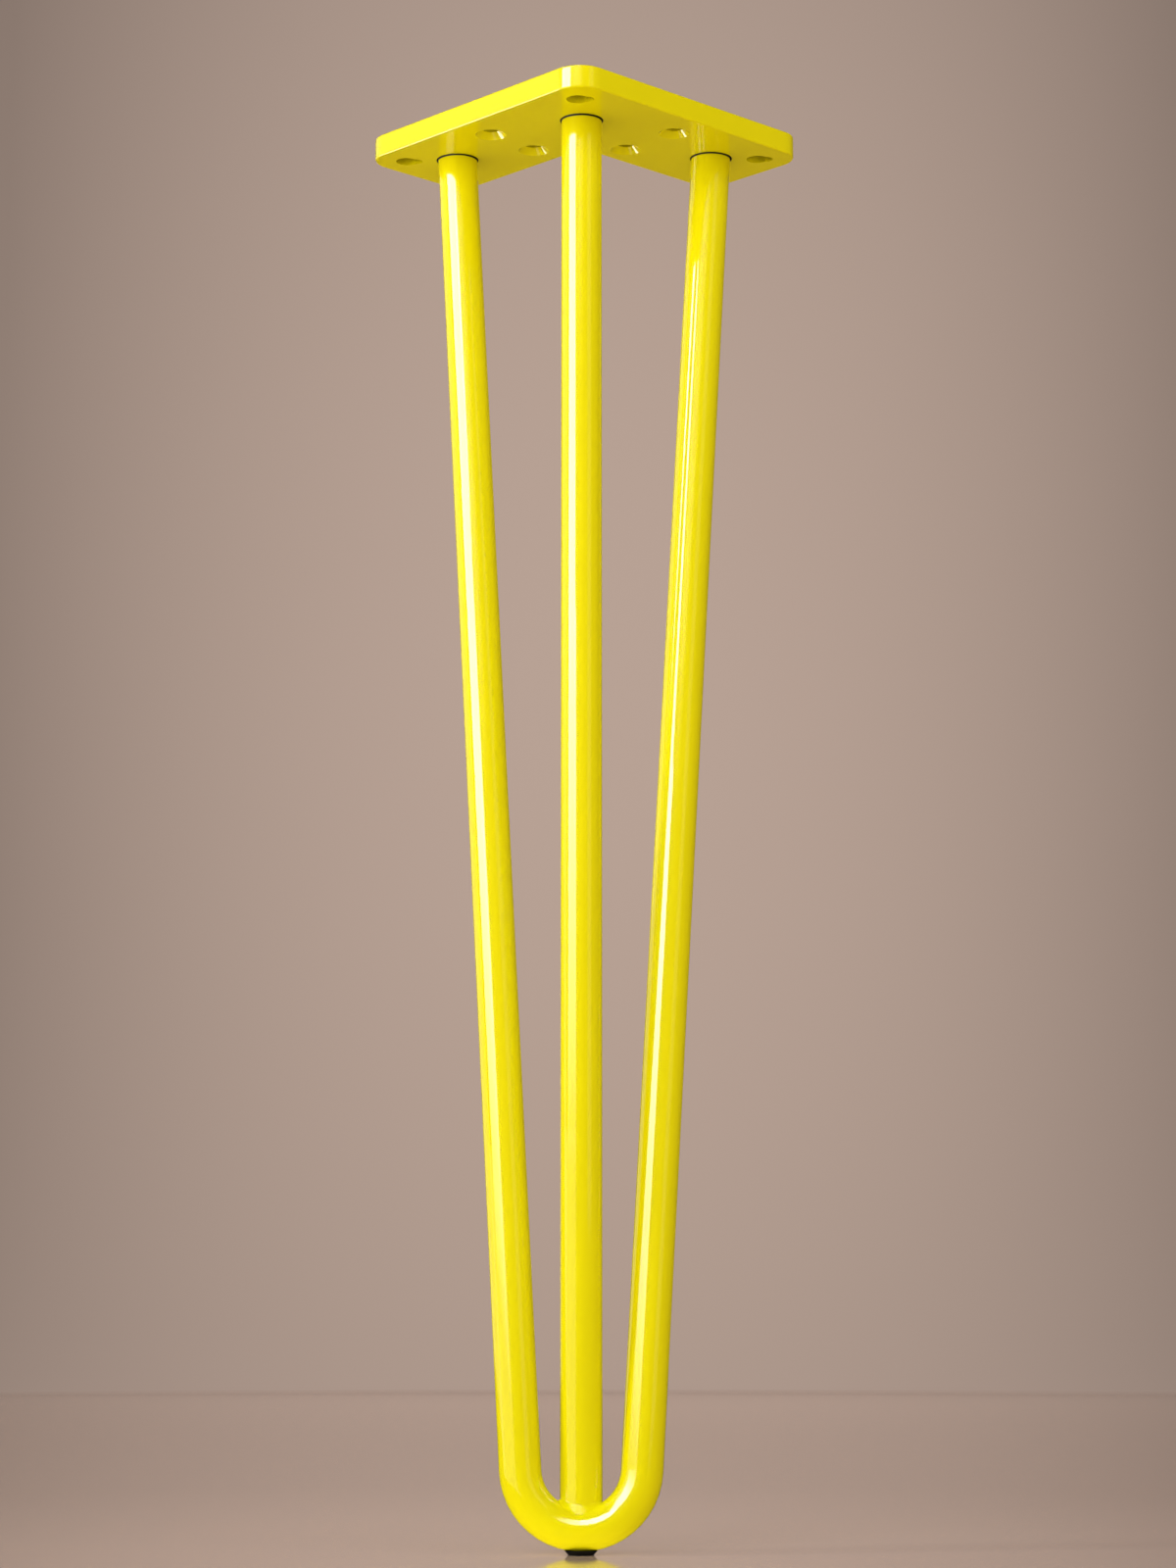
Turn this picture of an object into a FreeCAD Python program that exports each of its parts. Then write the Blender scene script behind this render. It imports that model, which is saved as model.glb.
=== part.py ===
import FreeCAD, Part

import math
import os
import re

import Sketcher

V = FreeCAD.Vector

# A three-rod hairpin table leg. One rod is bent into a narrow hairpin and carries the foot,
# one straight rod stands in front of it, and all three tops are welded into an L-shaped plate.
# Origin: the straight rod's axis on the plate's top face. +Z is up, the plate's outer corner
# points along -Y, and its two arms run back to the left and to the right.

SIZES = [
    # overall
    ("overall_height", 406.4),
    # mounting plate
    ("plate_thick", 6.5),
    ("arm_length", 92),
    ("arm_width", 39),
    ("corner_radius", 8),
    ("notch_radius", 5),
    ("edge_round", 0.5),
    # keyhole slots, the inset is measured from the two outer edges to the middle of the keyhole
    ("keyhole_inset", 9.4),
    ("keyhole_dia", 6.4),
    ("keyhole_slot_width", 4.2),
    ("keyhole_run", 2.5),
    # countersunk screw holes: the reach runs along an arm from the corner, the outer one is inset
    # from the arm's outer edge and the inner ones from its inner edge
    ("screw_hole_dia", 5.4),
    ("countersink_dia", 9),
    ("countersink_angle", 90),
    ("outer_screw_reach", 48.6),
    ("outer_screw_inset", 11.2),
    ("left_screw_reach", 49.9),
    ("left_screw_from_inside", 9.7),
    ("right_screw_reach", 48.3),
    ("right_screw_from_inside", 8.2),
    # rods, the side rods' tops are measured from the arm's end and from its outer edge
    ("rod_dia", 11.5),
    ("rod_gap", 0.35),
    ("centre_rod_inset", 21.8),
    ("side_rod_from_end", 20.2),
    ("side_rod_inset", 19),
    ("bend_radius", 16.4),
    ("bend_forward", 2.9),
    ("centre_rod_end", 4.6),
    # plug welds in the plate's top and the fillet weld at the foot
    ("weld_depth", 1.6),
    ("weld_recess", 0.2),
    ("weld_lip", 0.3),
    ("weld_flare", 1.2),
    ("bead_leg", 2.3),
    ("bead_span", 172),
    ("bead_turn", 14),
    # foot pad
    ("foot_dia", 8.9),
    ("foot_face_dia", 6.8),
    ("foot_proud", 0.8),
    ("foot_rim", 0.4),
]

doc = FreeCAD.newDocument("hairpin_leg")
sheet = doc.addObject("Spreadsheet::Sheet", "sizes")
sheet.Label = "sizes"
for row, (alias, value) in enumerate(SIZES, start=1):
    sheet.set("A%d" % row, alias)
    sheet.set("B%d" % row, str(value))
    sheet.setAlias("B%d" % row, alias)
doc.recompute()


def size(alias):
    return float(sheet.get(alias))


def cell(text):
    """An expression for the document from one in which each size stands by its bare alias."""
    aliases = dict(SIZES)
    return re.sub("[a-z_]+", lambda word: "<<sizes>>." * (word[0] in aliases) + word[0], text)


# Expressions that several pieces share, all from the sizes above.
ROD_RADIUS = "rod_dia / 2"
WELD_FOOT = "(rod_dia / 2 + rod_gap + weld_lip)"
CORNER_Y = "-centre_rod_inset * sqrt(2)"
BEND_DROP = "(overall_height - foot_proud - rod_dia / 2)"
SIDE_REACH = "(arm_length - side_rod_from_end)"
SIDE_X = "(" + SIDE_REACH + " - side_rod_inset) / sqrt(2)"
SIDE_Y = "((" + SIDE_REACH + " + side_rod_inset) / sqrt(2) - centre_rod_inset * sqrt(2))"
LEAN_RUN = "(" + SIDE_Y + " + bend_forward)"
LEAN_RISE = "(" + BEND_DROP + " - plate_thick)"
PLANE_RISE = "sqrt(" + LEAN_RUN + " ^ 2 + " + LEAN_RISE + " ^ 2)"
LEAN_ANGLE = "-atan2(" + LEAN_RUN + "; " + LEAN_RISE + ")"


def bind(thing, prop, text):
    thing.setExpression(prop, cell(text))


def new_body(name):
    body = doc.addObject("PartDesign::Body", name)
    body.Label = name
    return body


def origin_plane(body, role):
    for feature in body.Origin.OriginFeatures:
        if feature.Role == role:
            return feature
    raise ValueError("no plane " + role)


def new_sketch(body, name, role, placement=None):
    sketch = body.newObject("Sketcher::SketchObject", name)
    sketch.AttachmentSupport = [(origin_plane(body, role), "")]
    sketch.MapMode = "FlatFace"
    if placement is not None:
        sketch.AttachmentOffset = placement
    return sketch


def constrain(sketch, kind, *where, name=None, expression=None):
    index = sketch.addConstraint(Sketcher.Constraint(kind, *where))
    if name is not None:
        sketch.renameConstraint(index, name)
        bind(sketch, "Constraints." + name, expression)
    return index


def add_circle(sketch, name, diameter, reach=None, inset=None):
    """A circle at the sketch's origin, or at a reach along X and an inset along Y."""
    circle = sketch.addGeometry(Part.Circle(V(1, 1, 0), V(0, 0, 1), 1))
    constrain(sketch, "Diameter", circle, 2, name=name + "_dia", expression=diameter)
    if reach is None:
        constrain(sketch, "Coincident", circle, 3, -1, 1)
    else:
        constrain(sketch, "DistanceX", -1, 1, circle, 3, 1, name=name + "_x", expression=reach)
        constrain(sketch, "DistanceY", -1, 1, circle, 3, 1, name=name + "_y", expression=inset)
    return circle


def add_polygon(sketch, corners):
    """Straight sides through the corners, joined end to end, the first corner on the origin."""
    count = len(corners)
    for i in range(count):
        start, end = corners[i], corners[(i + 1) % count]
        sketch.addGeometry(Part.LineSegment(V(start[0], start[1], 0), V(end[0], end[1], 0)))
    for i in range(count):
        start, end = corners[i], corners[(i + 1) % count]
        constrain(sketch, "Coincident", i, 2, (i + 1) % count, 1)
        if start[1] == end[1]:
            constrain(sketch, "Horizontal", i)
        elif start[0] == end[0]:
            constrain(sketch, "Vertical", i)
    constrain(sketch, "Coincident", 0, 1, -1, 1)


def new_fillet(body, name, base, edges, radius):
    fillet = body.newObject("PartDesign::Fillet", name)
    fillet.Base = (base, edges)
    bind(fillet, "Radius", radius)
    return fillet


def edges_where(shape, test):
    return ["Edge%d" % (i + 1) for i, edge in enumerate(shape.Edges) if test(edge)]


def is_upright(edge):
    first, last = edge.Vertexes[0].Point, edge.Vertexes[-1].Point
    return abs(first.x - last.x) < 1e-6 and abs(first.y - last.y) < 1e-6


def is_level(edge):
    return abs(edge.BoundBox.ZMax - edge.BoundBox.ZMin) < 1e-6


def boolean(kind, name, base, tool):
    result = doc.addObject(kind, name)
    result.Label = name
    result.Base = base
    result.Tool = tool
    return result


def expect_less(before, after, what):
    """A cut that points away from the metal removes nothing and raises nothing."""
    if not after.Volume < before.Volume - 1e-3:
        raise RuntimeError(what + " removed nothing")


# The bent rod: half of the hairpin swept from the lowest point of the bend, then mirrored.
# Its plane leans back from the bend to the tops in the plate's two arms.

bent_rod = new_body("bent_rod")
bind(bent_rod, "Placement.Base.y", "-bend_forward")
bind(bent_rod, "Placement.Base.z", "-" + BEND_DROP)

side_reach = size("arm_length") - size("side_rod_from_end")
side_x = (side_reach - size("side_rod_inset")) / math.sqrt(2)
side_y = (side_reach + size("side_rod_inset")) / math.sqrt(2)
side_y -= size("centre_rod_inset") * math.sqrt(2)
bend_drop = size("overall_height") - size("foot_proud") - size("rod_dia") / 2
lean_run = side_y + size("bend_forward")
lean_rise = bend_drop - size("plate_thick")
plane_rise = math.hypot(lean_run, lean_rise)
lean = math.atan2(lean_run, lean_rise)
bend_radius = size("bend_radius")
rod_radius = size("rod_dia") / 2

to_top = V(side_x, plane_rise - bend_radius, 0)
turn = math.atan2(to_top.y, to_top.x) - math.acos(bend_radius / to_top.Length)
tangent = V(bend_radius * math.cos(turn), bend_radius * (1 + math.sin(turn)), 0)
along_leg = V(side_x, plane_rise, 0) - tangent
leg_end = tangent + along_leg * (1 + 3 * size("plate_thick") / along_leg.Length)

section = new_sketch(bent_rod, "rod_section", "YZ_Plane")
add_circle(section, "rod", "rod_dia")

tilt = FreeCAD.Placement(V(0, 0, 0), FreeCAD.Rotation(V(1, 0, 0), -math.degrees(lean)))
path = new_sketch(bent_rod, "rod_path", "XZ_Plane", tilt)
bind(path, "AttachmentOffset.Rotation.Angle", LEAN_ANGLE)
bend_circle = Part.Circle(V(0, bend_radius, 0), V(0, 0, 1), bend_radius)
bend = path.addGeometry(Part.ArcOfCircle(bend_circle, -math.pi / 2, turn))
leg = path.addGeometry(Part.LineSegment(tangent, leg_end))
mark = path.addGeometry(Part.Point(V(side_x, plane_rise, 0)))
path.toggleConstruction(mark)
constrain(path, "Coincident", bend, 1, -1, 1)
constrain(path, "PointOnObject", bend, 3, -2)
constrain(path, "Radius", bend, bend_radius, name="bend", expression="bend_radius")
constrain(path, "Tangent", bend, 2, leg, 1)
constrain(path, "DistanceX", -1, 1, mark, 1, side_x, name="top_x", expression=SIDE_X)
constrain(path, "DistanceY", -1, 1, mark, 1, plane_rise, name="top_rise", expression=PLANE_RISE)
constrain(path, "PointOnObject", mark, 1, leg)
constrain(
    path, "DistanceY", -1, 1, leg, 2, leg_end.y,
    name="end_rise", expression=PLANE_RISE + " + 3 * plate_thick",
)
doc.recompute()

half = bent_rod.newObject("PartDesign::AdditivePipe", "half_hairpin")
half.Profile = section
half.Spine = (path, ["Edge1", "Edge2"])
hairpin = bent_rod.newObject("PartDesign::Mirrored", "hairpin")
hairpin.Originals = [half]
hairpin.MirrorPlane = (origin_plane(bent_rod, "YZ_Plane"), [""])
bent_rod.Tip = hairpin
doc.recompute()

top_cut = new_sketch(bent_rod, "top_cut_line", "XY_Plane")
bind(top_cut, "AttachmentOffset.Base.z", BEND_DROP + " - weld_depth")
add_circle(top_cut, "cut", "4 * arm_length")
trim = bent_rod.newObject("PartDesign::Pocket", "trimmed_tops")
trim.Profile = top_cut
trim.Type = "ThroughAll"
trim.Reversed = True
doc.recompute()
expect_less(hairpin.Shape, trim.Shape, "trimming the rod's tops")

# The straight rod stands square to the plate, and its lower end is coped over the bend.

centre_blank = new_body("centre_blank")
bind(centre_blank, "Placement.Base.z", "-" + BEND_DROP + " + centre_rod_end")
centre_section = new_sketch(centre_blank, "centre_section", "XY_Plane")
add_circle(centre_section, "rod", "rod_dia")
centre_length = centre_blank.newObject("PartDesign::Pad", "centre_length")
centre_length.Profile = centre_section
bind(centre_length, "Length", BEND_DROP + " - centre_rod_end - weld_depth")
doc.recompute()
centre_rod = boolean("Part::Cut", "centre_rod", centre_blank, bent_rod)

# The foot pad is a round rubber button, narrower at the floor and hollowed to sit on the bend.

foot_blank = new_body("foot_blank")
bind(foot_blank, "Placement.Base.y", "-bend_forward")
bind(foot_blank, "Placement.Base.z", "-overall_height")
half_profile = new_sketch(foot_blank, "foot_profile", "XZ_Plane")
face_radius = size("foot_face_dia") / 2
foot_radius = size("foot_dia") / 2
top = size("foot_proud") + size("foot_rim")
add_polygon(half_profile, [(0, 0), (face_radius, 0), (foot_radius, top), (0, top)])
constrain(half_profile, "DistanceX", 0, 1, 0, 2, face_radius, name="face", expression="foot_face_dia / 2")
constrain(half_profile, "DistanceX", -1, 1, 1, 2, foot_radius, name="side", expression="foot_dia / 2")
constrain(half_profile, "DistanceY", -1, 1, 1, 2, top, name="top", expression="foot_proud + foot_rim")
doc.recompute()
button = foot_blank.newObject("PartDesign::Revolution", "foot_button")
button.Profile = half_profile
button.ReferenceAxis = (half_profile, ["V_Axis"])
button.Angle = 360
doc.recompute()
foot_pad = boolean("Part::Cut", "foot_pad", foot_blank, bent_rod)

# The plate is drawn along its own arms, from the outer corner, and turned by half a right angle.

blank = new_body("plate_blank")
blank.Placement = FreeCAD.Placement(V(0, 0, 0), FreeCAD.Rotation(V(0, 0, 1), 45))
bind(blank, "Placement.Base.y", CORNER_Y)

arm = size("arm_length")
width = size("arm_width")
chevron = new_sketch(blank, "plate_outline", "XY_Plane")
add_polygon(chevron, [(0, 0), (arm, 0), (arm, width), (width, width), (width, arm), (0, arm)])
constrain(chevron, "DistanceX", 0, 1, 0, 2, arm, name="right_arm", expression="arm_length")
constrain(chevron, "DistanceY", 1, 1, 1, 2, width, name="right_width", expression="arm_width")
constrain(chevron, "DistanceX", 4, 2, 4, 1, width, name="left_width", expression="arm_width")
constrain(chevron, "DistanceY", 5, 2, 5, 1, arm, name="left_arm", expression="arm_length")
plate_pad = blank.newObject("PartDesign::Pad", "plate_thickness")
plate_pad.Profile = chevron
plate_pad.Reversed = True
bind(plate_pad, "Length", "plate_thick")
doc.recompute()


def in_notch(edge):
    point = edge.CenterOfMass
    return abs(point.x - width) < 1e-6 and abs(point.y - width) < 1e-6


corners = edges_where(plate_pad.Shape, lambda edge: is_upright(edge) and not in_notch(edge))
rounded = new_fillet(blank, "rounded_corners", plate_pad, corners, "corner_radius")
doc.recompute()
notch = edges_where(rounded.Shape, lambda edge: is_upright(edge) and in_notch(edge))
notched = new_fillet(blank, "rounded_notch", rounded, notch, "notch_radius")
doc.recompute()
rims = edges_where(notched.Shape, is_level)
softened = new_fillet(blank, "softened_edges", notched, rims, "edge_round")
doc.recompute()

# One keyhole at the corner, its slot square to the diagonal, repeated towards each arm's end.

keyhole_radius = size("keyhole_dia") / 2
slot_radius = size("keyhole_slot_width") / 2
run = size("keyhole_run")
KEYHOLE_BACK = "(keyhole_run + keyhole_slot_width / 2 - keyhole_dia / 2) / 2 / sqrt(2)"
across = FreeCAD.Placement(V(0, 0, 0), FreeCAD.Rotation(V(0, 0, 1), -45))
keyhole = new_sketch(blank, "keyhole_outline", "XY_Plane", across)
bind(keyhole, "AttachmentOffset.Base.x", "keyhole_inset - " + KEYHOLE_BACK)
bind(keyhole, "AttachmentOffset.Base.y", "keyhole_inset + " + KEYHOLE_BACK)
mouth_angle = math.asin(slot_radius / keyhole_radius)
mouth_x = keyhole_radius * math.cos(mouth_angle)
head_circle = Part.Circle(V(0, 0, 0), V(0, 0, 1), keyhole_radius)
slot_circle = Part.Circle(V(run, 0, 0), V(0, 0, 1), slot_radius)
head = keyhole.addGeometry(Part.ArcOfCircle(head_circle, mouth_angle, 2 * math.pi - mouth_angle))
lower = keyhole.addGeometry(Part.LineSegment(V(mouth_x, -slot_radius, 0), V(run, -slot_radius, 0)))
tail = keyhole.addGeometry(Part.ArcOfCircle(slot_circle, -math.pi / 2, math.pi / 2))
upper = keyhole.addGeometry(Part.LineSegment(V(run, slot_radius, 0), V(mouth_x, slot_radius, 0)))
constrain(keyhole, "Coincident", head, 3, -1, 1)
constrain(keyhole, "Coincident", head, 2, lower, 1)
constrain(keyhole, "Tangent", lower, 2, tail, 1)
constrain(keyhole, "Tangent", tail, 2, upper, 1)
constrain(keyhole, "Coincident", upper, 2, head, 1)
constrain(keyhole, "Horizontal", lower)
constrain(keyhole, "PointOnObject", tail, 3, -1)
constrain(keyhole, "Radius", head, keyhole_radius, name="head", expression="keyhole_dia / 2")
constrain(keyhole, "Radius", tail, slot_radius, name="slot", expression="keyhole_slot_width / 2")
constrain(keyhole, "DistanceX", -1, 1, tail, 3, run, name="run", expression="keyhole_run")
doc.recompute()
first_keyhole = blank.newObject("PartDesign::Pocket", "corner_keyhole")
first_keyhole.Profile = keyhole
first_keyhole.Type = "ThroughAll"
doc.recompute()
expect_less(softened.Shape, first_keyhole.Shape, "the corner keyhole")

last = first_keyhole
for name, axis in (("right_keyhole", "X_Axis"), ("left_keyhole", "Y_Axis")):
    pattern = blank.newObject("PartDesign::LinearPattern", name)
    pattern.Originals = [first_keyhole]
    pattern.Direction = (origin_plane(blank, axis), [""])
    pattern.Occurrences = 2
    bind(pattern, "Length", "arm_length - 2 * keyhole_inset")
    blank.Tip = pattern
    doc.recompute()
    expect_less(last.Shape, pattern.Shape, name)
    last = pattern

# Four screw holes, countersunk from below. The inner one sits a little differently on each arm.

underside = new_sketch(blank, "screw_places", "XY_Plane")
bind(underside, "AttachmentOffset.Base.z", "-plate_thick")
for name, reach, inset in (
    ("right_outer", "outer_screw_reach", "outer_screw_inset"),
    ("right_inner", "right_screw_reach", "arm_width - right_screw_from_inside"),
    ("left_outer", "outer_screw_inset", "outer_screw_reach"),
    ("left_inner", "arm_width - left_screw_from_inside", "left_screw_reach"),
):
    add_circle(underside, name, "screw_hole_dia", reach, inset)
doc.recompute()
screws = blank.newObject("PartDesign::Hole", "screw_holes")
screws.Profile = underside
doc.recompute()
screws.Threaded = False
screws.ThreadType = "None"
screws.DepthType = "ThroughAll"
screws.HoleCutType = "Countersink"
screws.HoleCutCustomValues = True
screws.Reversed = True
bind(screws, "Diameter", "screw_hole_dia")
bind(screws, "HoleCutDiameter", "countersink_dia")
bind(screws, "HoleCutCountersinkAngle", "countersink_angle")
doc.recompute()
expect_less(last.Shape, screws.Shape, "the screw holes")

# Each rod's top stands in a bore on the rod's own line. A plug weld fills the bore's flared mouth
# to just below the top face, so that the plate lies flat against the table top.

right_tangent = V(
    tangent.x,
    tangent.y * math.sin(lean) - size("bend_forward"),
    tangent.y * math.cos(lean) - bend_drop,
)
right_top = V(side_x, side_y, -size("plate_thick"))
right_line = (right_top - right_tangent).normalize()
LINES = {
    "centre": (V(0, 0, -size("plate_thick")), V(0, 0, 1)),
    "left": (V(-right_top.x, right_top.y, right_top.z), V(-right_line.x, right_line.y, right_line.z)),
    "right": (right_top, right_line),
}


def flared_cone(name, level, recess):
    """The flare round a rod's top, from the rod's end up to a recess below the top face."""
    cone = doc.addObject("Part::Cone", name)
    cone.Label = name
    cone.Placement = FreeCAD.Placement(V(level.x, level.y, 0), FreeCAD.Rotation())
    bind(cone, "Placement.Base.z", "-weld_depth")
    bind(cone, "Radius1", WELD_FOOT)
    bind(cone, "Radius2", WELD_FOOT + " + weld_flare * (1 - " + recess + " / weld_depth)")
    bind(cone, "Height", "weld_depth - " + recess)
    return cone


openings = []
for side, (foot, line) in LINES.items():
    bore = doc.addObject("Part::Cylinder", "bore_" + side)
    bore.Placement = FreeCAD.Placement(
        foot - line * size("plate_thick"), FreeCAD.Rotation(V(0, 0, 1), line)
    )
    bind(bore, "Radius", ROD_RADIUS + " + rod_gap")
    bind(bore, "Height", "3 * plate_thick")
    level = foot + line * ((size("plate_thick") - size("weld_depth")) / line.z)
    mouth = flared_cone("mouth_" + side, level, "0")
    flared_cone("weld_" + side, level, "weld_recess")
    openings += [bore, mouth]

rod_openings = doc.addObject("Part::MultiFuse", "rod_openings")
rod_openings.Shapes = openings
mounting_plate = boolean("Part::Cut", "mounting_plate", blank, rod_openings)
doc.recompute()
expect_less(screws.Shape, mounting_plate.Shape, "the rod openings")


# The fillet weld at the foot follows the crease between the straight rod and the bend. It is
# hollow in section, fullest in front a little to the left, and runs out where the rod overhangs.

BEAD_SLICES = 9
BEAD_SINK = 0.2
BEAD_HOLLOW = 0.35
BEAD_END = 0.15


def bend_surface(x, y):
    """Height, above the bend's lowest centre point, of the bend's upper surface at x, y."""
    low, high = 0.0, bend_radius
    for _ in range(60):
        z = (low + high) / 2
        up = y * math.sin(lean) + z * math.cos(lean)
        off = y * math.cos(lean) - z * math.sin(lean)
        inside = math.hypot(math.hypot(x, bend_radius - up) - bend_radius, off) < rod_radius
        low, high = (z, high) if inside else (low, z)
    return high


def bead_points(azimuth, leg_length):
    """Top, middle and toe of the weld's hollow face, in the upright plane through the rod's axis."""
    out = V(math.cos(azimuth), math.sin(azimuth), 0)
    up = V(0, 0, 1)

    def on_bend(radius):
        height = bend_surface(out.x * radius, out.y * radius + size("bend_forward"))
        return out * radius + up * (height - bend_drop)

    corner = on_bend(rod_radius)
    top_point = corner + up * (leg_length + BEAD_SINK) - out * BEAD_SINK
    toe_point = on_bend(rod_radius + leg_length) - up * BEAD_SINK
    middle = (top_point + toe_point) * ((1 - BEAD_HOLLOW) / 2) + corner * BEAD_HOLLOW
    return top_point, middle, toe_point


def bead_section(azimuth, leg_length):
    """One slice of the weld, with its root well inside the metal."""
    top_point, middle, toe_point = bead_points(azimuth, leg_length)
    root = V(top_point.x, top_point.y, -bend_drop)
    below_toe = V(toe_point.x, toe_point.y, -bend_drop)
    return Part.Wire([
        Part.Arc(top_point, middle, toe_point).toShape(),
        Part.makeLine(toe_point, below_toe),
        Part.makeLine(below_toe, root),
        Part.makeLine(root, top_point),
    ])


slices = []
front = -math.pi / 2 - math.radians(size("bead_turn"))
for i in range(BEAD_SLICES):
    share = 2 * i / (BEAD_SLICES - 1) - 1
    taper = BEAD_END + (1 - BEAD_END) * (1 - share ** 2)
    azimuth = front + share * math.radians(size("bead_span") / 2)
    slices.append(bead_section(azimuth, size("bead_leg") * taper))
bead = Part.makeLoft(slices, True, False)
bead = bead.cut(bent_rod.Shape).cut(centre_rod.Shape)
face_point = Part.Vertex(bead_points(front, size("bead_leg"))[1])
bead_solid = min(bead.Solids, key=lambda solid: solid.distToShape(face_point)[0])
foot_weld = doc.addObject("Part::Feature", "foot_weld")
foot_weld.Label = "foot_weld"
foot_weld.Shape = bead_solid
doc.recompute()

PIECES = [mounting_plate, bent_rod, centre_rod, foot_pad, foot_weld]
PIECES += [doc.getObject("weld_" + side) for side in LINES]

for thing in doc.Objects:
    for state in thing.State:
        if state in ("Invalid", "Error"):
            raise RuntimeError(thing.Name + " failed")
for piece in PIECES:
    shape = piece.Shape
    if shape.isNull() or not shape.isValid() or len(shape.Solids) != 1:
        raise RuntimeError(piece.Label + " is not one valid solid")

os.makedirs("parts", exist_ok=True)
for piece in PIECES:
    piece.Shape.exportStep("parts/" + piece.Label + ".step")
    box = piece.Shape.BoundBox
    print(
        "%-15s volume %9.1f  faces %3d  z %.2f to %.2f"
        % (piece.Label, piece.Shape.Volume, len(piece.Shape.Faces), box.ZMin, box.ZMax)
    )
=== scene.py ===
import math

import bpy
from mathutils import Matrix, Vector


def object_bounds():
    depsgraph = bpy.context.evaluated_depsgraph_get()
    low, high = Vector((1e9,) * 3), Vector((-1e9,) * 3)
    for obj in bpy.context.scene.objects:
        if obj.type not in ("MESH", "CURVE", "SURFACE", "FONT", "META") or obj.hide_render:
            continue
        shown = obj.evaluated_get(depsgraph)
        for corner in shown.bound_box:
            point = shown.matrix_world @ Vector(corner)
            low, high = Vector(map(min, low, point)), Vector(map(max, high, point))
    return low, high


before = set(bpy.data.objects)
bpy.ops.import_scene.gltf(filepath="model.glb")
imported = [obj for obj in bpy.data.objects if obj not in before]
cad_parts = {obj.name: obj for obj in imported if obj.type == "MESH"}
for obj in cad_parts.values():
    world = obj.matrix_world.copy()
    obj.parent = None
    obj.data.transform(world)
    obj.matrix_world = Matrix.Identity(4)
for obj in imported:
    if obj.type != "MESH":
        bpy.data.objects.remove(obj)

cad_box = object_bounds()

# A three-rod hairpin table leg in glossy yellow powder coat, standing on its rubber foot.
# Metres, in the row frame: the origin is the straight rod's axis on the plate's top face.

FLOOR = cad_box[0].z
MIDDLE = (cad_box[0] + cad_box[1]) / 2
ORIGIN = (0, 0, 0)
BEND = (0, -0.003, -0.393)

# The camera of the photograph, 71 mm above the floor and 0.92 m in front of the leg. Angles are in
# degrees, the lens and the sensor in millimetres.
CAMERA_PLACE = (0.0201, -0.918, -0.3351)
CAMERA_PITCH = 8.499
CAMERA_TURN = 1.141
CAMERA_LENS = 76.965
CAMERA_SENSOR = 36

WHITE = (1, 1, 1, 1)
BLACK = (0, 0, 0, 1)


# Nodes

def new_material(name):
    material = bpy.data.materials.new(name)
    material.use_nodes = True
    tree = material.node_tree
    return material, tree, tree.nodes["Principled BSDF"]


def add_node(tree, kind, **values):
    """A node whose sockets and settings are given by name."""
    node = tree.nodes.new("ShaderNode" + kind)
    for name, value in values.items():
        socket = name.replace("_", " ")
        if socket in node.inputs:
            node.inputs[socket].default_value = value
        else:
            setattr(node, name, value)
    return node


def link(tree, start, end):
    tree.links.new(start, end)


def show(tree, surface):
    link(tree, surface, tree.nodes["Material Output"].inputs["Surface"])


def object_place(tree):
    return add_node(tree, "TexCoord").outputs["Object"]


def split(tree, vector):
    node = add_node(tree, "SeparateXYZ")
    link(tree, vector, node.inputs["Vector"])
    return node.outputs


def noise(tree, place, scale, detail):
    node = add_node(tree, "TexNoise", Scale=scale, Detail=detail)
    link(tree, place, node.inputs["Vector"])
    return node.outputs["Fac"]


def ramp(tree, value, low, high):
    """Spreads a noise over a range of shader values, low at 0 and high at 1."""
    node = add_node(tree, "MapRange", To_Min=low, To_Max=high)
    link(tree, value, node.inputs["Value"])
    return node.outputs["Result"]


def fade(tree, value, start, end):
    """0 before the start and 1 past the end."""
    node = add_node(tree, "MapRange", From_Min=start, From_Max=end)
    link(tree, value, node.inputs["Value"])
    return node.outputs["Result"]


def bump(tree, height, distance, below=None):
    node = add_node(tree, "Bump", Strength=1, Distance=distance)
    link(tree, height, node.inputs["Height"])
    if below is not None:
        link(tree, below, node.inputs["Normal"])
    return node.outputs["Normal"]


def mix(tree, value, first, second):
    """Mixes two colours, each a socket or four numbers."""
    node = add_node(tree, "Mix", data_type="RGBA")
    sockets = [socket for socket in node.inputs if socket.type == "RGBA"]
    for socket, colour in zip(sockets, (first, second)):
        if isinstance(colour, tuple):
            socket.default_value = colour
        else:
            link(tree, colour, socket)
    link(tree, value, node.inputs["Factor"])
    return next(socket for socket in node.outputs if socket.type == "RGBA")


def blend(tree, value, first, second):
    """Mixes two shaders."""
    node = add_node(tree, "MixShader")
    for socket, source in zip(node.inputs, (value, first, second)):
        link(tree, source, socket)
    return node.outputs["Shader"]


def maths(tree, operation, *values):
    """A math node; each value is a socket or a number."""
    node = tree.nodes.new("ShaderNodeMath")
    node.operation = operation
    for socket, value in zip(node.inputs, values):
        if isinstance(value, (int, float)):
            socket.default_value = value
        else:
            link(tree, value, socket)
    return node.outputs[0]


def plus(tree, first, second):
    return maths(tree, "ADD", first, second)


def minus(tree, first, second):
    return maths(tree, "SUBTRACT", first, second)


def times(tree, first, second):
    return maths(tree, "MULTIPLY", first, second)


def magnitude(tree, value):
    return maths(tree, "ABSOLUTE", value)


def distance_to(tree, x, y):
    return maths(tree, "SQRT", plus(tree, times(tree, x, x), times(tree, y, y)))


def falloff(tree, value, middle, reach, power, loss):
    """1 at the middle and less by the loss at the reach on either side."""
    share = maths(tree, "DIVIDE", magnitude(tree, minus(tree, value, middle)), reach)
    return minus(tree, 1.0, times(tree, maths(tree, "POWER", share, power), loss))


# Coat and rubber

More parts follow.
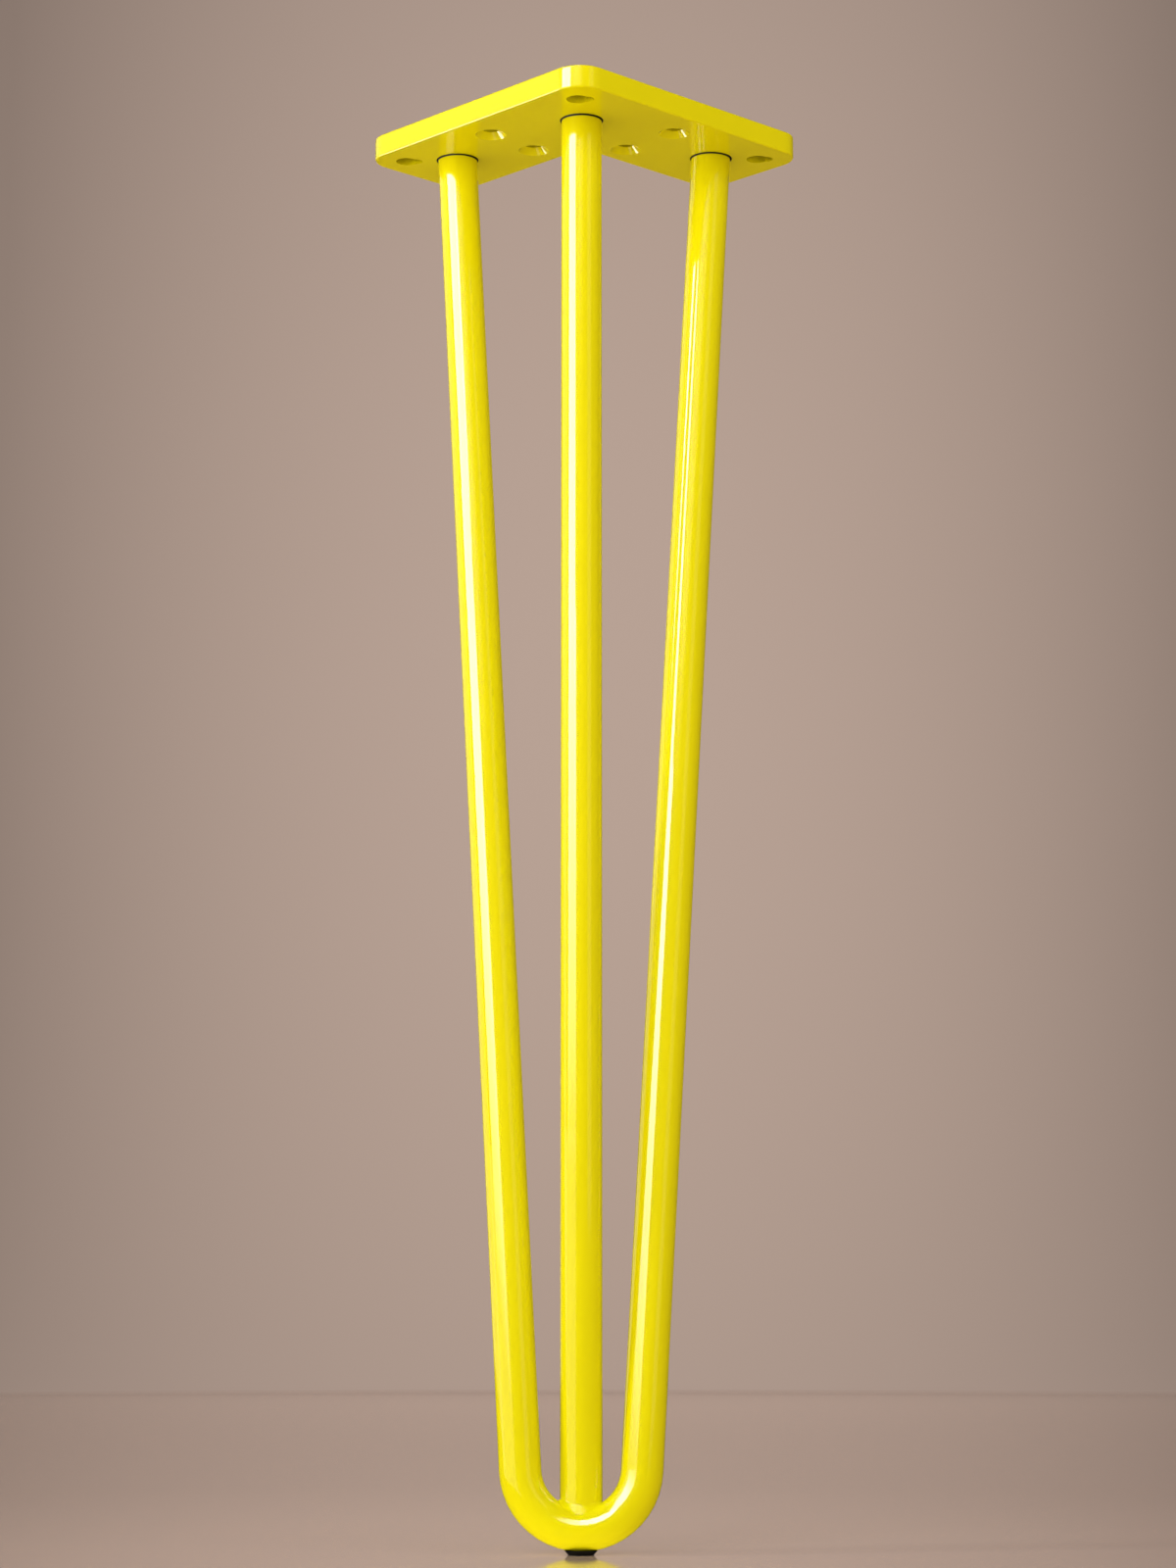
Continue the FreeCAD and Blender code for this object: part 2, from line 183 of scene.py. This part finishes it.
# The hairpin's right leg enters the plate's underside at SIDE_TOP and moves by SIDE_SLOPE for each
# metre up. Painted shade, near black, darkens the plate's bores, of 6.1 mm radius, and the rods from
# 0.4 mm under it, in the gap where each rod enters the plate.
SIDE_TOP = (0.03748, 0.03365, -0.0065)
SIDE_SLOPE = (0.0560, 0.0923)
BORE_EDGE = 0.00618
BORE_EDGE_SOFT = 0.00005
ROD_SHADE_START = -0.00690
ROD_SHADE_SOFT = 0.00006
ROD_SHADE_RAGGED = 0.0001

# The two colours are the ends of a slight drift.
COAT = ((0.825, 0.755, 0.0020, 1), (0.855, 0.785, 0.0026, 1))
COAT_ROUGHNESS = (0.055, 0.075)
COAT_IOR = 1.5
COAT_GLOSS = 0.5
PEEL_HEIGHT = 0.0000006
# Painted shade in the gaps where the rods enter the plate: near black, and rougher than the coat by the
# value under it.
GAP_SHADE = (0.010, 0.009, 0.006, 1)
GAP_SHADE_ROUGHER = 0.5

# Painted shade darkens the coat in recesses. It starts to darken where the first share of RECESS_OPEN
# of the surroundings is open, and is darkest at the second.
RECESS_SHADE = (0.16, 0.12, 0.002, 1)
RECESS_REACH = 0.02
RECESS_OPEN = (0.46, 0.34)
RECESS_SHARE = 0.8

WELD_MARKS = 0.00004
BEAD_GLOSS = 0.07

RUBBER = ((0.004, 0.0032, 0.0022, 1), (0.011, 0.009, 0.006, 1))
RUBBER_ROUGHNESS = (0.42, 0.62)
RUBBER_GLOSS = 0.12
RUBBER_GRAIN = 0.00003


def off_line(tree, place, mirrored, foot, slope):
    """Level distance from a rod's line, which passes a foot and moves by a slope for each metre up."""
    x, y, z = split(tree, place)
    if mirrored:
        x = magnitude(tree, x)
    rise = minus(tree, z, foot[2])
    across = minus(tree, minus(tree, x, foot[0]), times(tree, rise, slope[0]))
    deep = minus(tree, minus(tree, y, foot[1]), times(tree, rise, slope[1]))
    return distance_to(tree, across, deep)


def bore_shade(tree, place):
    """1 on the walls of the plate's three rod bores, where painted shade fills the gap round each rod.
    """
    centre = off_line(tree, place, False, ORIGIN, (0, 0))
    side = off_line(tree, place, True, SIDE_TOP, SIDE_SLOPE)
    nearest = maths(tree, "MINIMUM", centre, side)
    return minus(tree, 1.0, fade(tree, nearest, BORE_EDGE - BORE_EDGE_SOFT, BORE_EDGE))


def rod_shade(tree, place):
    """1 on the tops of the rods, from just under the plate, with a slightly uneven edge, where painted
    shade marks the gap at the plate.
    """
    ragged = times(tree, noise(tree, place, scale=700, detail=2), ROD_SHADE_RAGGED)
    height = plus(tree, split(tree, place)["Z"], ragged)
    return fade(tree, height, ROD_SHADE_START, ROD_SHADE_START + ROD_SHADE_SOFT)


def powder_coat(name, shade=None, recesses=False, marks=None, gloss=COAT_GLOSS):
    """Glossy powder coat with a faint orange peel and a slight drift of tone. A shade tells where
    near-black painted shade goes, in the gaps where the rods enter the plate; recesses can be darkened
    with painted shade too; and marks are the height of grinding marks under the coat."""
    material, tree, shader = new_material(name)
    place = object_place(tree)
    peel = noise(tree, place, scale=420, detail=2)
    colour = mix(tree, noise(tree, place, scale=26, detail=3), *COAT)
    roughness = ramp(tree, peel, *COAT_ROUGHNESS)
    relief = bump(tree, peel, PEEL_HEIGHT)
    if recesses:
        # Painted shade in recesses, darker where less of the surroundings is open.
        recess = add_node(tree, "AmbientOcclusion", Distance=RECESS_REACH)
        recess_shade_share = times(tree, fade(tree, recess.outputs["AO"], *RECESS_OPEN), RECESS_SHARE)
        colour = mix(tree, recess_shade_share, colour, RECESS_SHADE)
    if shade is not None:
        # Painted shade, near black, in the gaps where the rods enter the plate; it is also rougher.
        gap_shade_share = shade(tree, place)
        colour = mix(tree, gap_shade_share, colour, GAP_SHADE)
        roughness = plus(tree, roughness, times(tree, gap_shade_share, GAP_SHADE_ROUGHER))
    if marks is not None:
        strokes = add_node(tree, "TexWave", Scale=180, Distortion=6, Detail=3)
        link(tree, place, strokes.inputs["Vector"])
        relief = bump(tree, strokes.outputs["Fac"], marks, below=relief)
    link(tree, colour, shader.inputs["Base Color"])
    link(tree, roughness, shader.inputs["Roughness"])
    link(tree, relief, shader.inputs["Normal"])
    shader.inputs["IOR"].default_value = COAT_IOR
    shader.inputs["Specular IOR Level"].default_value = gloss
    return material


def foot_rubber():
    """Black rubber with a dull, faintly mottled skin."""
    material, tree, shader = new_material("foot_rubber")
    place = object_place(tree)
    mottle = noise(tree, place, scale=900, detail=4)
    grain = noise(tree, place, scale=4200, detail=2)
    link(tree, mix(tree, mottle, *RUBBER), shader.inputs["Base Color"])
    link(tree, ramp(tree, mottle, *RUBBER_ROUGHNESS), shader.inputs["Roughness"])
    link(tree, bump(tree, grain, RUBBER_GRAIN), shader.inputs["Normal"])
    shader.inputs["Specular IOR Level"].default_value = RUBBER_GLOSS
    return material


# Stage

COVE_RADIUS = 1.75
COVE_BEND = 0.45
COVE_TOP = 2.2
COVE_STEPS = 96
COVE_BEND_STEPS = 12

# The level of the dark studio: the world's light, and a painted dim reflection that gloss sees in place
# of most of the cove and on the dark card.
STUDIO_GLOOM = 0.04

# A painted pool of light makes the floor palest near the foot, and it darkens over FLOOR_FADE. Painted
# bounce light: the light that the floor throws up at the leg has the paler colour FLOOR_BOUNCE.
FLOOR_POOL_LIGHT = ((0.54, 0.405, 0.335, 1), (0.56, 0.42, 0.35, 1))
FLOOR_FAR = (0.44, 0.33, 0.275, 1)
FLOOR_FADE = (0.13, 0.32)
FLOOR_BOUNCE = (0.98, 0.83, 0.70, 1)
FLOOR_ROUGHNESS = (0.08, 0.11)

# The wall starts at WALL_FOOT and glows though it is no lamp, a painted light. Only its part behind the
# leg, from BACK on and inside BACK_SIDE, is mirrored by the floor. Painted shade darkens floor and wall
# towards the sides, to SIDES_LEAST.
WALL_GLOW = ((0.474, 0.356, 0.296, 1), (0.482, 0.362, 0.302, 1))
WALL_FOOT = (FLOOR + 0.001, FLOOR + 0.003)
BACK = (0.5, 0.6)
BACK_SIDE = (0.62, 0.56)
SIDES_LEAST = 0.6

# A curved dark card in front of the plate, a painted dim reflection, hides the boom lamp from the gloss
# of the rods' tops. It reaches CARD_TURN degrees to either side.
CARD_RADIUS = 0.2
CARD_TURN = 33
CARD_LOW = -0.11
CARD_HIGH = 0.12
CARD_STEPS = 16


def add_object(name, points, faces, material):
    mesh = bpy.data.meshes.new(name)
    mesh.from_pydata(points, [], faces)
    mesh.materials.append(material)
    thing = bpy.data.objects.new(name, mesh)
    bpy.context.scene.collection.objects.link(thing)
    return thing


def cove_material():
    """A plain floor under a glowing wall, a painted light. Painted shade darkens both towards the
    sides. The floor mirrors the wall behind the leg; everywhere else gloss sees floor and wall as a
    painted dim gloom."""
    material, tree, shader = new_material("studio_floor")
    place = object_place(tree)
    x, y, z = split(tree, place)
    path = add_node(tree, "LightPath").outputs
    cloud = noise(tree, place, scale=3.5, detail=3)
    # Painted shade towards the sides, on the floor's colour and the wall's glow.
    sides = falloff(tree, x, middle=-0.025, reach=0.457, power=2.2, loss=0.37)
    sides = maths(tree, "MAXIMUM", sides, SIDES_LEAST)

    # Painted pool of light round the foot.
    far = fade(tree, distance_to(tree, x, y), *FLOOR_FADE)
    colour = mix(tree, far, mix(tree, cloud, *FLOOR_POOL_LIGHT), FLOOR_FAR)
    colour = mix(tree, sides, BLACK, colour)
    # Painted bounce light: diffuse rays see the floor in the paler FLOOR_BOUNCE.
    colour = mix(tree, path["Is Diffuse Ray"], colour, FLOOR_BOUNCE)
    link(tree, colour, shader.inputs["Base Color"])
    link(tree, ramp(tree, cloud, *FLOOR_ROUGHNESS), shader.inputs["Roughness"])

    # The wall glows though it is no lamp: painted light, dimmer to the sides and a little away from
    # 0.15 m up.
    glow = add_node(tree, "Emission")
    level = times(tree, sides, falloff(tree, z, middle=0.15, reach=0.5, power=2, loss=0.1))
    link(tree, mix(tree, cloud, *WALL_GLOW), glow.inputs["Color"])
    link(tree, level, glow.inputs["Strength"])
    gloom = add_node(tree, "Emission", Color=WHITE, Strength=STUDIO_GLOOM)

    wall = fade(tree, z, *WALL_FOOT)
    behind = times(tree, fade(tree, y, *BACK), fade(tree, magnitude(tree, x), *BACK_SIDE))
    seen = maths(tree, "MAXIMUM", path["Is Camera Ray"], path["Is Glossy Ray"])
    # Painted reflection: gloss sees floor and wall as a dim gloom, all but the wall behind the leg.
    gloom_reflection = times(tree, path["Is Glossy Ray"], minus(tree, 1.0, times(tree, wall, behind)))
    surface = blend(tree, times(tree, wall, seen), shader.outputs["BSDF"], glow.outputs["Emission"])
    show(tree, blend(tree, gloom_reflection, surface, gloom.outputs["Emission"]))
    material.cycles.emission_sampling = "NONE"
    return material


def studio_floor():
    """A round floor that curves up into one plain wall on every side."""
    rings = []
    for step in range(COVE_BEND_STEPS + 1):
        turn = math.pi / 2 * step / COVE_BEND_STEPS
        out = COVE_RADIUS - COVE_BEND + COVE_BEND * math.sin(turn)
        rings.append((out, FLOOR + COVE_BEND * (1 - math.cos(turn))))
    rings.append((COVE_RADIUS, FLOOR + COVE_TOP))

    points = [(0, 0, FLOOR)]
    for out, height in rings:
        for step in range(COVE_STEPS):
            turn = 2 * math.pi * step / COVE_STEPS
            points.append((out * math.cos(turn), out * math.sin(turn), height))
    faces = []
    for step in range(COVE_STEPS):
        after = (step + 1) % COVE_STEPS
        faces.append((0, 1 + step, 1 + after))
        for ring in range(len(rings) - 1):
            low = 1 + ring * COVE_STEPS
            high = low + COVE_STEPS
            faces.append((low + step, high + step, high + after, low + after))
    cove = add_object("studio_floor", points, faces, cove_material())
    cove.data.shade_smooth()


def dark_reflection_card():
    """A curved dark card, seen only in the leg's gloss as a painted dim reflection. From outside it is
    clear.
    """
    material, tree, _ = new_material("dark_reflection_card")
    gloom = add_node(tree, "Emission", Color=WHITE, Strength=STUDIO_GLOOM)
    clear = add_node(tree, "BsdfTransparent")
    inside = add_node(tree, "NewGeometry").outputs["Backfacing"]
    show(tree, blend(tree, inside, clear.outputs["BSDF"], gloom.outputs["Emission"]))
    material.cycles.emission_sampling = "NONE"

    points = []
    for step in range(CARD_STEPS + 1):
        turn = math.radians(CARD_TURN * (2 * step / CARD_STEPS - 1))
        for height in (CARD_LOW, CARD_HIGH):
            points.append((CARD_RADIUS * math.sin(turn), -CARD_RADIUS * math.cos(turn), height))
    faces = [(start, start + 2, start + 3, start + 1) for start in range(0, 2 * CARD_STEPS, 2)]
    card = add_object("dark_reflection_card", points, faces, material)
    card.visible_camera = False
    card.visible_diffuse = False
    card.visible_shadow = False


# Lamps

KEY_MIDDLE = 0.065
KEY_HEIGHT = 0.69
LOW_FOOT = FLOOR + 0.001
LOW_TOP = -0.286
LOW_MIDDLE = (LOW_FOOT + LOW_TOP) / 2

# Each lamp that shows in the leg's gloss alone: its azimuth in degrees, distance, height, width and
# height, power in watts and aim. Azimuth 0 is the camera's side and 90 the right of the photograph.
SHEENS = {
    "key_sheen": (-51.5, 0.77, KEY_MIDDLE, (0.66, KEY_HEIGHT), 23.0, (0, 0, KEY_MIDDLE)),
    "boom_sheen": (-7, 1.45, 0.85, (1.23, 0.95), 65.0, BEND),
    "low_sheen": (-61.5, 0.16, LOW_MIDDLE, (0.212, LOW_TOP - LOW_FOOT), 0.072, (0, 0, LOW_MIDDLE)),
    "right_sheen": (45, 1.1, 0.15, (0.42, 0.9), 0.5, (0, 0, 0.15)),
    "left_sheen": (-115, 1.2, 0.1, (1.3, 1.0), 3.2, ORIGIN),
    "floor_sheen": (-108, 0.45, FLOOR + 0.05, (0.3, 0.3), 0.35, ORIGIN),
}
FLOOR_SHEEN_SPREAD = 60

# Each lamp that lights and isn't mirrored, in the same order. The last is a faint glow at the foot.
FILLS = {
    "key_front": (-26, 0.83, KEY_MIDDLE, (0.5, KEY_HEIGHT), 3.3, MIDDLE),
    "key_side": (-78, 0.83, KEY_MIDDLE, (0.10, KEY_HEIGHT), 2.75, MIDDLE),
    "key_high": (-50, 0.8, 0.7, (0.5, 0.5), 1.2, MIDDLE),
    "left_fill": (-105, 1.2, 0.1, (0.9, 1.0), 1.2, MIDDLE),
    "front_fill": (6, 1.3, 0.4, (1.8, 1.0), 4.7, MIDDLE),
    "right_high": (60, 0.75, 0.45, (0.5, 0.5), 1.4, MIDDLE),
    "right_fill": (105, 1.2, 0.1, (0.9, 1.0), 0.4, MIDDLE),
    "back_fill": (180, 1.2, 0.2, (1.2, 1.0), 4.9, MIDDLE),
    "top": (0, 0.05, 1.4, (1.0, 1.0), 0.5, MIDDLE),
    "floor_glow": (-75, 0.010, FLOOR + 0.0003, (0.05, 0.05), 0.0033, (-0.010, -0.003, 1)),
}


def soft_lamp(name, azimuth, distance, height, size, power, aim):
    """A soft rectangular lamp that the camera doesn't see."""
    lamp = bpy.data.lights.new(name, "AREA")
    lamp.shape = "RECTANGLE"
    lamp.size, lamp.size_y = size
    lamp.energy = power
    place = bpy.data.objects.new(name, lamp)
    turn = math.radians(azimuth)
    place.location = (distance * math.sin(turn), -distance * math.cos(turn), height)
    place.rotation_euler = (Vector(aim) - place.location).to_track_quat("-Z", "Y").to_euler()
    place.visible_camera = False
    bpy.context.scene.collection.objects.link(place)
    return place


def dim(lamp, axis, dark, bright):
    """Dims a lamp along its width, axis X, or its height, axis Y, both 0 to 1, towards the dark end."""
    lamp.use_nodes = True
    tree = lamp.node_tree
    emission = next(node for node in tree.nodes if node.type == "EMISSION")
    place = add_node(tree, "NewGeometry").outputs["Parametric"]
    link(tree, fade(tree, split(tree, place)[axis], dark, bright), emission.inputs["Strength"])


def lights():
    """The lamps and the gloomy studio round them. The sheens reach the leg alone."""
    leg_parts = bpy.data.collections.new("leg_parts")
    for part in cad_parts.values():
        leg_parts.objects.link(part)

    sheens = {}
    for name, setting in SHEENS.items():
        place = soft_lamp(name, *setting)
        place.visible_diffuse = False
        place.light_linking.receiver_collection = leg_parts
        sheens[name] = place.data
    dim(sheens["key_sheen"], "Y", dark=0.0, bright=0.43)
    dim(sheens["boom_sheen"], "X", dark=1.0, bright=0.5)
    sheens["floor_sheen"].spread = math.radians(FLOOR_SHEEN_SPREAD)

    for name, setting in FILLS.items():
        soft_lamp(name, *setting).visible_glossy = False

    world = bpy.data.worlds.new("studio")
    world.use_nodes = True
    background = world.node_tree.nodes["Background"]
    background.inputs["Color"].default_value = WHITE
    background.inputs["Strength"].default_value = STUDIO_GLOOM
    bpy.context.scene.world = world


def camera():
    data = bpy.data.cameras.new("camera")
    data.lens = CAMERA_LENS
    data.sensor_width = CAMERA_SENSOR
    data.clip_start = 0.01
    data.clip_end = 20
    place = bpy.data.objects.new("camera", data)
    place.location = CAMERA_PLACE
    place.rotation_euler = (math.radians(90 + CAMERA_PITCH), 0, math.radians(CAMERA_TURN))
    bpy.context.scene.collection.objects.link(place)
    bpy.context.scene.camera = place


# Dressing the nodes

plate_coat = powder_coat("plate_coat", shade=bore_shade, recesses=True)
rod_coat = powder_coat("rod_coat", shade=rod_shade)
weld_coat = powder_coat("weld_coat", marks=WELD_MARKS)
bead_coat = powder_coat("bead_coat", gloss=BEAD_GLOSS)
COATS = {
    "mounting_plate": plate_coat,
    "bent_rod": rod_coat,
    "centre_rod": rod_coat,
    "foot_weld": bead_coat,
    "foot_pad": foot_rubber(),
}
for name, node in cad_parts.items():
    for slot in node.material_slots:
        slot.material = COATS.get(name, weld_coat)

studio_floor()
dark_reflection_card()
lights()
camera()
bpy.context.scene.view_settings.view_transform = "Standard"
